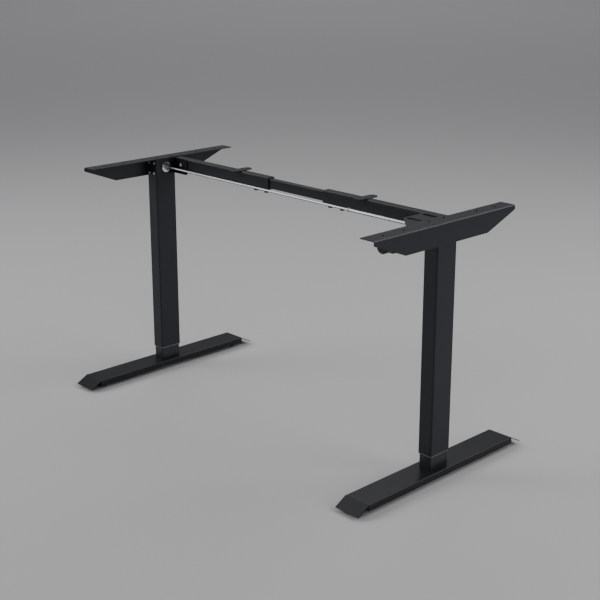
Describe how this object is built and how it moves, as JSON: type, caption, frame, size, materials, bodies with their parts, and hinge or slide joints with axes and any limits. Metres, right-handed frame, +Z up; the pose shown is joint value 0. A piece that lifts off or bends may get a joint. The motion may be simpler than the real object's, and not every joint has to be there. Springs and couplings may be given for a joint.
{
  "type": "height adjustable desk frame",
  "caption": "Steel desk frame with telescopic columns on flat feet, an extending rail and a motor-driven hex shaft; no desktop.",
  "frame": {"origin": "on the floor, midway between the two columns", "axes": "+X along the rail towards the motor, +Y from the user's side to the rail side, +Z up"},
  "size_m": [1.23, 0.66, 0.7],
  "materials": {
    "powder_coat": "fine satin powder coat",
    "black_plastic": "moulded satin",
    "motor_paint": "satin black paint",
    "bright_steel": "bright drawn",
    "raw_steel": "mill finish, oiled",
    "gear_steel": "sintered, greased",
    "zinc_steel": "zinc plated",
    "zinc_screw": "bright zinc",
    "black_screw": "black oxide",
    "chrome": "polished",
    "bronze": "machined",
    "cast_alloy": "die cast",
    "black_rubber": "moulded"
  },
  "bodies": {
    "right_base": {"right_foot": "powder_coat", "right_foot_stiffener": "zinc_steel", "right_foot_bolts": "black_screw", "right_foot_weld_nuts": "zinc_steel", "right_inner_tube": "powder_coat", "right_tube_end_block": "raw_steel", "right_tube_slider": "black_plastic", "right_lift_nut": "bronze"},
    "right_head": {"right_outer_tube": "powder_coat", "right_tube_collar": "black_plastic", "right_gearbox_housing": "cast_alloy", "right_gearbox_screws": "zinc_screw", "right_shaft_bush": "chrome", "right_side_bracket": "powder_coat", "right_rail_sleeve": "powder_coat", "right_sleeve_liner": "black_plastic", "right_rail_lock_bolts": "black_screw", "right_support_tab": "powder_coat", "right_rail_bracket": "powder_coat", "right_rail_bracket_screws": "zinc_screw", "junction_plate": "powder_coat", "motor_housing": "motor_paint", "motor_end_cap": "black_plastic"},
    "right_front_glide": {"right_front_glide": "black_rubber"},
    "right_rear_glide": {"right_rear_glide": "black_rubber"},
    "right_screw": {"right_lead_screw": "raw_steel", "right_crown_gear": "gear_steel"},
    "left_base": {"left_foot": "powder_coat", "left_foot_stiffener": "zinc_steel", "left_foot_bolts": "black_screw", "left_foot_weld_nuts": "zinc_steel", "left_inner_tube": "powder_coat", "left_tube_end_block": "raw_steel", "left_tube_slider": "black_plastic", "left_lift_nut": "bronze"},
    "left_head": {"left_outer_tube": "powder_coat", "left_tube_collar": "black_plastic", "left_gearbox_housing": "cast_alloy", "left_gearbox_screws": "zinc_screw", "left_shaft_bush": "chrome", "left_side_bracket": "powder_coat", "left_rail_sleeve": "powder_coat", "left_sleeve_liner": "black_plastic", "left_rail_lock_bolts": "black_screw", "left_support_tab": "powder_coat", "left_rail_bracket": "powder_coat", "left_rail_bracket_screws": "zinc_screw"},
    "left_front_glide": {"left_front_glide": "black_rubber"},
    "left_rear_glide": {"left_rear_glide": "black_rubber"},
    "left_screw": {"left_lead_screw": "raw_steel", "left_crown_gear": "gear_steel"},
    "right_shaft": {"drive_tube": "bright_steel", "shaft_collar": "raw_steel", "right_shaft_pinion": "gear_steel"},
    "left_shaft": {"drive_rod": "bright_steel", "left_shaft_pinion": "gear_steel"},
    "centre_rail": {"inner_rail": "powder_coat"},
    "motor_output": {"motor_pinion": "gear_steel"},
    "motor_armature": {"motor_rotor": "gear_steel"}
  },
  "joints": [
    {"name": "lift", "type": "slide", "parent": "right_base", "child": "right_head", "axis": [0, 0, 1], "range_m": [0, 0.45]},
    {"name": "right_width", "type": "slide", "parent": "right_head", "child": "centre_rail", "axis": [-1, 0, 0], "range_m": [-0.045, 0.08]},
    {"name": "left_width", "type": "slide", "parent": "centre_rail", "child": "left_head", "axis": [-1, 0, 0], "range_m": [-0.045, 0.08]},
    {"name": "left_lift", "type": "slide", "parent": "left_head", "child": "left_base", "axis": [0, 0, -1], "range_m": [0, 0.45]},
    {"name": "right_screw_spin", "type": "hinge", "parent": "right_head", "child": "right_screw", "pos_m": [0.575, 0, 0.4], "axis": [0, 0, 1], "range_deg": [0, 10126]},
    {"name": "left_screw_spin", "type": "hinge", "parent": "left_head", "child": "left_screw", "pos_m": [-0.575, 0, 0.4], "axis": [0, 0, 1], "range_deg": [-10126, 0]},
    {"name": "right_shaft_spin", "type": "hinge", "parent": "right_head", "child": "right_shaft", "pos_m": [0.4, 0, 0.671], "axis": [1, 0, 0], "range_deg": [-20251, 0]},
    {"name": "left_shaft_spin", "type": "hinge", "parent": "left_head", "child": "left_shaft", "pos_m": [-0.2, 0, 0.671], "axis": [1, 0, 0], "range_deg": [-20251, 0]},
    {"name": "motor_output_spin", "type": "hinge", "parent": "right_head", "child": "motor_output", "pos_m": [0.575, -0.04, 0.671], "axis": [0, 1, 0], "range_deg": [-20251, 0]},
    {"name": "motor_spin", "type": "hinge", "parent": "right_head", "child": "motor_armature", "pos_m": [0.575, -0.12, 0.671], "axis": [0, 1, 0], "range_deg": [-101251, 0]},
    {"name": "right_front_levelling", "type": "slide", "parent": "right_base", "child": "right_front_glide", "axis": [0, 0, -1], "range_m": [0, 0.01]},
    {"name": "right_rear_levelling", "type": "slide", "parent": "right_base", "child": "right_rear_glide", "axis": [0, 0, -1], "range_m": [0, 0.01]},
    {"name": "left_front_levelling", "type": "slide", "parent": "left_base", "child": "left_front_glide", "axis": [0, 0, -1], "range_m": [0, 0.01]},
    {"name": "left_rear_levelling", "type": "slide", "parent": "left_base", "child": "left_rear_glide", "axis": [0, 0, -1], "range_m": [0, 0.01]}
  ],
  "couplings": [
    {"joint": "left_lift", "follows": "lift", "ratio": 1},
    {"joint": "right_screw_spin", "follows": "lift", "rad_per_m": 392.7},
    {"joint": "left_screw_spin", "follows": "lift", "rad_per_m": -392.7},
    {"joint": "right_shaft_spin", "follows": "lift", "rad_per_m": -785.4},
    {"joint": "left_shaft_spin", "follows": "lift", "rad_per_m": -785.4},
    {"joint": "motor_output_spin", "follows": "lift", "rad_per_m": -785.4},
    {"joint": "motor_spin", "follows": "lift", "rad_per_m": -3927}
  ]
}
